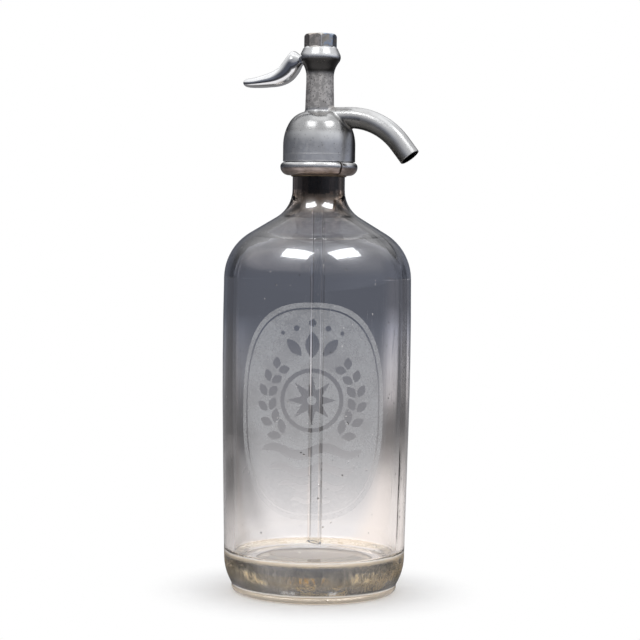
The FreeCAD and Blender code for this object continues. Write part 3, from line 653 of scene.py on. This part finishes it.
# ---------------------------------------------------------------- frosted panel on the bottle
PANEL_AZIMUTH = math.radians(-70.5)
PANEL_MIDDLE = 0.1020  # height of its centre
PANEL_HALF = (41.0, 56.5)  # mm along the glass and up
PANEL_POWER = 2.5  # 2 is an ellipse
PANEL_PROUD = 0.00003
STRIP = 2.5  # mm between the cuts that let the flat panel bend
BODY_RADIUS_MIN = 0.0478  # rings of the bottle's mesh beyond this are on its outside


def rounded(half_width, half_height, power=PANEL_POWER, count=160):
    """A rounded oblong about the panel's middle."""
    loop = []
    for i in range(count):
        a = math.tau * i / count
        c, s = math.cos(a), math.sin(a)
        loop.append((math.copysign(abs(c) ** (2 / power), c) * half_width,
                     math.copysign(abs(s) ** (2 / power), s) * half_height))
    return loop


def disc(u, v, radius, count=40):
    """A circle."""
    return [(u + radius * math.cos(math.tau * i / count), v + radius * math.sin(math.tau * i / count))
            for i in range(count)]


def star(u, v, points, outer, inner):
    """A star with one point upright."""
    loop = []
    for i in range(2 * points):
        radius = inner if i % 2 else outer
        a = math.pi * i / points
        loop.append((u + radius * math.sin(a), v + radius * math.cos(a)))
    return loop


def leaf(u, v, length, width, turn, count=14):
    """A pointed leaf from its stalk end, at an angle from upright."""
    loop = []
    for i in range(2 * count):
        share = i / count if i <= count else 2 - i / count
        side = 1 if i <= count else -1
        x = side * width / 2 * math.sin(math.pi * share) ** 0.8 if 0 < share < 1 else 0.0
        y = share * length
        loop.append((u + x * math.cos(turn) + y * math.sin(turn),
                     v + y * math.cos(turn) - x * math.sin(turn)))
    return loop


def wave_bar(v, half_width, thickness, height, waves, count=60):
    """A bar with a wavy course and pointed ends."""
    def course(i, side):
        share = i / count * 2 - 1
        swell = math.sqrt(max(0.0, 1 - share ** 4))
        rise = height * math.sin(share * waves * math.pi)
        return (share * half_width, v + rise + side * thickness / 2 * swell)
    return [course(i, 1) for i in range(count)] + [course(count - i, -1) for i in range(count)]


# The design, in mm from the panel's middle.
FRAME_INSETS = (0.0, 2.6, 3.5)
STAR_MIDDLE = 6.0
STAR_POINTS, STAR_OUTER, STAR_INNER = 8, 12.8, 5.6
RING_RADII = (16.6, 14.4)
HUB_RADIUS = 2.4
SPRIG_RADIUS = 24.0
SPRIG_LEAVES = 6
SPRIG_FIRST, SPRIG_STEP, SPRIG_TILT = -50, 18, 38  # degrees
SIDE_DOTS = ((8.2, 43.2, 1.5), (15.6, 40.6, 1.1))  # to the side, up, and radius
WAVES = ((-20.5, 27.5, 5.0), (-30.0, 23.0, 4.4), (-38.5, 17.5, 3.4),
         (-46.0, 10.5, 2.4))  # up, half width, thickness


def panel_loops():
    """The frosted field and, by turns inside it, clear and frosted shapes."""
    w, h = PANEL_HALF
    loops = [rounded(w - inset, h - inset) for inset in FRAME_INSETS]
    loops += [disc(0, STAR_MIDDLE, radius, 72) for radius in RING_RADII]
    loops += [disc(0, STAR_MIDDLE, HUB_RADIUS), star(0, STAR_MIDDLE, STAR_POINTS, STAR_OUTER, STAR_INNER)]
    for side in (-1, 1):
        for k in range(SPRIG_LEAVES):
            a = math.radians(SPRIG_FIRST + SPRIG_STEP * k)
            for tilt in (-1, 1):
                r = SPRIG_RADIUS + 0.7 * tilt
                loops.append(leaf(side * r * math.cos(a), STAR_MIDDLE + r * math.sin(a), 8.2 - 0.4 * k, 4.4,
                                  side * (math.radians(SPRIG_TILT * tilt) - a)))
        loops.append(leaf(side * 5.6, 29.0, 11.5, 5.4, side * math.radians(42)))
        loops += [disc(side * u, v, radius) for u, v, radius in SIDE_DOTS]
    loops += [leaf(0, 28.0, 13.5, 7.4, 0.0), disc(0, 46.0, 1.9)]
    for v, half_width, thickness in WAVES:
        loops.append(wave_bar(v, half_width, thickness, thickness * 0.38, 2.0))
    return loops


def outer_profile():
    """The bottle's outer radius at each height where its mesh has a ring."""
    rings = {}
    for vertex in nodes["bottle"].data.vertices:
        height = round(vertex.co.z, 5)
        rings[height] = max(rings.get(height, 0.0), math.hypot(vertex.co.x, vertex.co.y))
    return [(z, r) for z, r in sorted(rings.items()) if r > BODY_RADIUS_MIN]


Z_PANEL_FADE = (0.088, 0.052)  # heights over which the panel grows thinner


def frosted_glass():
    """Sand-etched film: pale, grainy, worn thin in places."""
    t = Finish("frosted_panel")
    grain = t.noise(900, 3, 0.7)
    wear = t.noise(75, 5, 0.65)
    alpha = t.plus(0.36, t.stretch(grain, 0.3, 0.7, -0.05, 0.05), t.stretch(wear, 0.35, 0.70, 0.06, -0.12),
                   t.stretch(t.axes()[2], *Z_PANEL_FADE, 0.0, -0.20))
    tone = t.mix(t.stretch(wear, 0.3, 0.7), grey(0.54, -0.02), grey(0.62, 0.0))
    t.set(base_color=tone, roughness=0.85, alpha=alpha, normal=t.bump(grain, 0.00003, 0.6))
    return t.material


def flat_panel():
    """The panel as a flat mesh, in mm, cut into strips."""
    curve = bpy.data.curves.new("panel_outline", "CURVE")
    curve.dimensions = "2D"
    curve.fill_mode = "BOTH"
    for loop in panel_loops():
        spline = curve.splines.new("POLY")
        spline.points.add(len(loop) - 1)
        for point, (u, v) in zip(spline.points, loop):
            point.co = (u, v, 0, 1)
        spline.use_cyclic_u = True
    flat = bpy.data.objects.new("panel_outline", curve)
    bpy.context.scene.collection.objects.link(flat)
    bpy.context.view_layer.update()
    mesh = bpy.data.meshes.new_from_object(flat.evaluated_get(bpy.context.evaluated_depsgraph_get()))
    bpy.data.objects.remove(flat)
    shape = bmesh.new()
    shape.from_mesh(mesh)
    for reach, axis in ((PANEL_HALF[0], Vector((1, 0, 0))), (PANEL_HALF[1], Vector((0, 1, 0)))):
        for k in range(-int(reach / STRIP), int(reach / STRIP) + 1):
            bmesh.ops.bisect_plane(shape, geom=shape.verts[:] + shape.edges[:] + shape.faces[:],
                                   plane_co=axis * (k * STRIP), plane_no=axis)
    return mesh, shape


def frosted_panel():
    """The etched panel, laid just outside the glass."""
    mesh, shape = flat_panel()
    profile = outer_profile()
    for vertex in shape.verts:
        height = PANEL_MIDDLE + vertex.co.y * MM
        below = max(p for p in profile if p[0] <= height)
        above = min(p for p in profile if p[0] > height)
        share = (height - below[0]) / (above[0] - below[0])
        radius = below[1] + (above[1] - below[1]) * share + PANEL_PROUD
        azimuth = PANEL_AZIMUTH + vertex.co.x * MM / radius
        vertex.co = (radius * math.cos(azimuth), radius * math.sin(azimuth), height)
    bmesh.ops.recalc_face_normals(shape, faces=shape.faces[:])
    middle = Vector((math.cos(PANEL_AZIMUTH), math.sin(PANEL_AZIMUTH), 0))
    shape.faces.ensure_lookup_table()
    if sum(f.normal.dot(middle) for f in shape.faces) < 0:
        bmesh.ops.reverse_faces(shape, faces=shape.faces[:])
    shape.to_mesh(mesh)
    shape.free()
    mesh.shade_smooth()
    mesh.name = "frosted_panel"
    mesh.materials.clear()
    mesh.materials.append(frosted_glass())
    panel = bpy.data.objects.new("frosted_panel", mesh)
    bpy.context.scene.collection.objects.link(panel)
    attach(panel, STATIC)


# ---------------------------------------------------------------- studio
SOFTBOX_SIDES = {"left": math.radians(-39), "right": math.radians(51)}
SOFTBOX_LIFT = math.radians(55.5)
SOFTBOX_REACH = 1.3
SOFTBOX_SIZE = (0.52, 0.30)
SOFTBOX_POWER = 1.3  # watts
AIM_HEIGHT = 0.18


def place(holder, side, lift, reach):
    """Puts a light round the object, by its angle from the camera and its lift, facing inwards."""
    target = Vector((0, 0, AIM_HEIGHT))
    turned = side + VIEW_TURN
    level = math.cos(lift) * reach
    holder.location = target + Vector((math.sin(turned) * level, -math.cos(turned) * level,
                                       math.sin(lift) * reach))
    holder.rotation_euler = (target - holder.location).to_track_quat("-Z", "Y").to_euler()


def softbox(name, side):
    """An area light on one side of the camera."""
    light = bpy.data.lights.new(name, "AREA")
    light.shape = "RECTANGLE"
    light.size, light.size_y = SOFTBOX_SIZE
    light.energy = SOFTBOX_POWER
    holder = bpy.data.objects.new(name, light)
    bpy.context.scene.collection.objects.link(holder)
    place(holder, side, SOFTBOX_LIFT, SOFTBOX_REACH)


# Brightness round the horizon, by degrees from straight behind the object: minus is left in the picture.
SKIRTING = [(-180, 1.2), (-125, 1.1), (-95, 0.9), (-62, 0.35), (-32, 0.40), (-20, 0.95), (-9, 1.0), (9, 1.0),
            (14, 1.45), (24, 1.50), (32, 0.30), (66, 0.10), (78, 0.8), (92, 2.9), (130, 2.9), (180, 1.2)]
SKIRTING_METAL = [(-180, 2.2), (-125, 1.6), (-95, 1.0), (-62, 0.45), (-32, 0.25), (-10, 0.30), (10, 0.15),
                  (42, 0.10), (56, 0.7), (68, 2.6), (92, 3.6), (130, 2.8), (180, 2.2)]
WINDOW_HALF = (0.268, 0.160)  # of each softbox as clear glass mirrors it, in units of its distance
WINDOW_BLUR = 0.035
WINDOW_GLARE = 24.0
HALO_SPREAD = (0.33, 0.30)
HALO_GLARE = 8.0


def bearing(t):
    """Angle round Z, as 0 to 1 for -180 to 180 degrees from straight behind the object."""
    right, away = t.axes(VIEW_TURN)[:2]
    return t.stretch(t.maths("ARCTAN2", right, away), -math.pi, math.pi, smooth=False)


def side_light(t, skirting):
    """A third of the brightness round the horizon, by direction."""
    return t.ramp(bearing(t), [((angle + 180) / 360, (v / 3,) * 3) for angle, v in skirting])


def dot(t, direction):
    """How far a ray points in a direction."""
    return t.vector_maths("DOT_PRODUCT", t.position, direction).outputs["Value"]


def window(t, side):
    """Glare of one softbox by direction: a rectangle with soft edges in a wide halo."""
    turned = side + VIEW_TURN
    level = math.cos(SOFTBOX_LIFT)
    towards = Vector((math.sin(turned) * level, -math.cos(turned) * level, math.sin(SOFTBOX_LIFT)))
    across = Vector((0, 0, 1)).cross(towards).normalized()
    ahead = t.maths("MAXIMUM", dot(t, towards), 0.05)
    u = t.maths("ABSOLUTE", t.maths("DIVIDE", dot(t, across), ahead))
    v = t.maths("ABSOLUTE", t.maths("DIVIDE", dot(t, towards.cross(across)), ahead))
    core = t.times(*[t.stretch(place, half + WINDOW_BLUR, half - WINDOW_BLUR)
                     for place, half in zip((u, v), WINDOW_HALF)])
    far = t.plus(t.times(u, u, 1 / HALO_SPREAD[0] ** 2), t.times(v, v, 1 / HALO_SPREAD[1] ** 2))
    halo = t.maths("EXPONENT", t.times(far, -1.0))
    return t.plus(t.times(core, WINDOW_GLARE), t.times(halo, HALO_GLARE))


WALL_TINTS = [(0.00, (0.30, 0.30, 0.31)), (0.42, (0.113, 0.12, 0.145)), (0.56, (0.113, 0.12, 0.145)),
              (0.62, (0.16, 0.165, 0.18)), (0.72, (0.45, 0.45, 0.46)), (0.80, (0.80, 0.80, 0.81)),
              (1.00, (0.90, 0.90, 0.90))]  # from straight down to straight up, for mirrors and glass
ROOM_LEVEL = 3.0  # the ramps and levels above and below hold a third of the brightness
CEILING = (0.35, 0.65)  # how far up a direction points where the ceiling begins and is full
OVERHEAD = (0.34, 0.42, 0.58, 0.66)  # bearings behind the object where it is brighter
ZENITH = (0.90, 0.98)
FEW_BOUNCES = (4.6, 4.4)  # depths of rays that go straight through the bottle
THROUGH_FLOOR = (3.4, 3.6, 4.4, 4.6)  # transmissions of the rays that meet the bottle's floor


def world():
    """A dim room for mirrors and glass to see, plain white for the camera, and even light for the rest."""
    scene_world = bpy.data.worlds.new("studio")
    bpy.context.scene.world = scene_world
    t = Tree(scene_world, "Generated")
    up = t.axes(VIEW_TURN)[2]
    path = t.nodes.new("ShaderNodeLightPath")
    singular, passed = path.outputs["Is Singular Ray"], path.outputs["Is Transmission Ray"]
    clear = t.times(singular, t.less(passed))
    glassy = t.maths("MAXIMUM", singular, passed)
    wall = t.ramp(t.stretch(up, -1.0, 1.0, smooth=False), WALL_TINTS)

    # A glossy ray of rough metal sees a brighter ceiling, clear glass a darker one.
    ceiling = t.stretch(up, *CEILING)
    overhead = t.maths("MAXIMUM", t.band(bearing(t), *OVERHEAD), t.stretch(up, *ZENITH))
    level = t.plus(t.times(ceiling, t.less(glassy), t.stretch(overhead, 0.0, 1.0, -0.06, 0.12)),
                   t.times(ceiling, clear, -0.22), 1 / 3)
    high = t.nodes.new("ShaderNodeCombineColor")
    for channel in high.inputs:
        t.links.new(level, channel)
    sides = t.mix(glassy, side_light(t, SKIRTING_METAL), side_light(t, SKIRTING))
    shade = t.mix(t.stretch(t.maths("ABSOLUTE", up), 0.60, 0.25), high.outputs[0], sides)

    # The bottle's shoulder sees the wall darker, and its floor sees it white.
    depth = path.outputs["Ray Depth"]
    direct = t.times(passed, t.stretch(depth, *FEW_BOUNCES), t.stretch(up, 0.12, 0.36))
    shade = t.mix(t.times(direct, 0.62), shade, (0, 0, 0, 1))
    floor_of_bottle = t.times(passed, t.stretch(depth, 5.4, 5.6),
                              t.band(path.outputs["Transmission Depth"], *THROUGH_FLOOR))
    shade = t.mix(floor_of_bottle, shade, (1.0, 0.975, 0.95, 1))

    room = t.glow(t.mix(1.0, wall, shade, "MULTIPLY"), ROOM_LEVEL, "ShaderNodeBackground")
    glare = t.glow((0.95, 0.97, 1, 1), 1.0, "ShaderNodeBackground")
    windows = t.plus(*[window(t, side) for side in SOFTBOX_SIDES.values()])
    t.links.new(t.times(windows, clear), glare.node.inputs["Strength"])
    both = t.nodes.new("ShaderNodeAddShader")
    t.links.new(room, both.inputs[0])
    t.links.new(glare, both.inputs[1])
    fill = t.glow((1.0, 1.0, 1.01, 1), kind="ShaderNodeBackground")
    white = t.glow((1, 1, 1, 1), kind="ShaderNodeBackground")
    spread = t.join(t.maths("MINIMUM", path.outputs["Diffuse Depth"], 1.0), both.outputs[0], fill)
    t.links.new(t.join(path.outputs["Is Camera Ray"], spread, white),
                t.nodes["World Output"].inputs["Surface"])


FLOOR_REACH = 12.0
RAMP_REACH = 3.8
# Brightness of the floor by distance from the object, in metres: seen through the glass straight ahead, to
# the right, to the left and far out on both sides, and seen as a reflection in front and behind.
FLOOR_AHEAD = [(0.00, 1.10), (0.15, 1.04), (0.22, 0.96), (0.30, 0.80), (0.45, 0.58), (0.60, 0.42),
               (0.75, 0.32), (1.15, 0.26), (1.70, 0.22), (2.10, 0.18), (2.60, 0.15), (3.20, 0.12)]
FLOOR_RIGHT = [(0.00, 1.05), (0.30, 0.96), (0.42, 0.84), (0.50, 0.62), (0.58, 0.38), (0.70, 0.22),
               (0.85, 0.20), (1.00, 0.32), (1.15, 0.60), (1.60, 0.70), (2.20, 0.58), (2.60, 0.47),
               (3.00, 0.32), (3.80, 0.16)]
FLOOR_LEFT = [(0.00, 1.05), (0.20, 0.80), (0.28, 0.50), (0.40, 0.34), (0.55, 0.29), (0.64, 0.15),
              (0.75, 0.12), (1.05, 0.16), (1.40, 0.27), (2.20, 0.24), (2.60, 0.20), (3.20, 0.12)]
FLOOR_FAR_RIGHT = [(0.00, 1.05), (0.35, 0.92), (0.50, 0.50), (0.62, 0.22), (0.80, 0.085), (3.80, 0.085)]
FLOOR_FAR_LEFT = [(0.00, 0.90), (0.18, 0.65), (0.245, 0.54), (0.29, 0.41), (0.333, 0.30),
                  (0.395, 0.18), (0.457, 0.15), (0.518, 0.13), (0.585, 0.18), (0.65, 0.17),
                  (0.75, 0.10), (3.80, 0.075)]
FLOOR_MIRRORED_FRONT = [(0.00, 0.30), (0.08, 0.80), (0.50, 1.00), (0.70, 0.20), (1.50, 0.10), (3.20, 0.12)]
FLOOR_MIRRORED_BACK = [(0.00, 0.10), (0.10, 0.10), (0.25, 0.20), (0.60, 0.24), (1.20, 0.20), (3.20, 0.12)]
NEAR_TINT = (1.03, 1.0, 1.0)
FAR_TINT = (0.94, 1.0, 1.20)
COOL_REACH = 2.6  # metres to where the floor's tint is all FAR_TINT


def by_distance(t, share, stops, warm=1.0):
    """Half of each brightness in the list, from warm near the object to cool far from it."""
    tinted = []
    for metres, v in stops:
        far = min(1.0, metres / COOL_REACH) ** 1.5
        red, green, blue = (v / 2 * (n + (f - n) * far) for n, f in zip(NEAR_TINT, FAR_TINT))
        tinted.append((metres / RAMP_REACH, (red * warm, green, blue / warm)))
    return t.ramp(share, tinted)


def floor():
    """A pale floor that keeps the shadow near the object, and is shown to glass and metal by distance."""
    bpy.ops.mesh.primitive_circle_add(vertices=96, radius=FLOOR_REACH, fill_type="NGON")
    ground = bpy.context.object
    ground.name = "studio_floor"
    t = Finish("pale_floor")
    grain = t.noise(45, 3)
    t.set(base_color=t.mix(t.stretch(grain, 0.3, 0.7), grey(0.84), grey(0.87)), roughness=0.6)
    t.shader.inputs["Specular IOR Level"].default_value = 0.2
    far = t.vector_maths("LENGTH", t.position).outputs["Value"]
    share = t.stretch(far, 0.0, RAMP_REACH, smooth=False)
    turn = bearing(t)

    def beyond(start, end):
        """0 to 1 between two angles from straight behind the object; minus is left in the picture."""
        return t.stretch(turn, 0.5 + start / 360, 0.5 + end / 360)

    seen = by_distance(t, share, FLOOR_AHEAD)
    for start, end, stops, warm in ((8, 15, FLOOR_RIGHT, 1.06), (-8, -15, FLOOR_LEFT, 1.0),
                                    (22, 28, FLOOR_FAR_RIGHT, 1.05), (-17, -25, FLOOR_FAR_LEFT, 1.03)):
        seen = t.mix(beyond(start, end), seen, by_distance(t, share, stops, warm))
    front = t.maths("ABSOLUTE", t.plus(turn, -0.5))
    mirror = t.mix(t.stretch(front, 0.22, 0.32), by_distance(t, share, FLOOR_MIRRORED_BACK),
                   by_distance(t, share, FLOOR_MIRRORED_FRONT))
    path = t.nodes.new("ShaderNodeLightPath")
    white = t.glow((1, 1, 1, 1))
    near_white = t.join(t.stretch(far, 0.044, 0.095), t.shader.outputs[0], white)
    mirrored = t.join(path.outputs["Is Glossy Ray"], t.shader.outputs[0], t.glow(mirror, 2.0))
    through = t.join(path.outputs["Is Transmission Ray"], mirrored, t.glow(seen, 2.0))
    t.links.new(t.join(path.outputs["Is Camera Ray"], through, near_white), t.output.inputs["Surface"])
    ground.data.materials.append(t.material)


# ---------------------------------------------------------------- run
bpy.context.scene.view_settings.view_transform = "Standard"
set_camera()
dress_nodes()
frosted_panel()
working_spring()
world()
floor()
for tag, side in SOFTBOX_SIDES.items():
    softbox("softbox_" + tag, side)
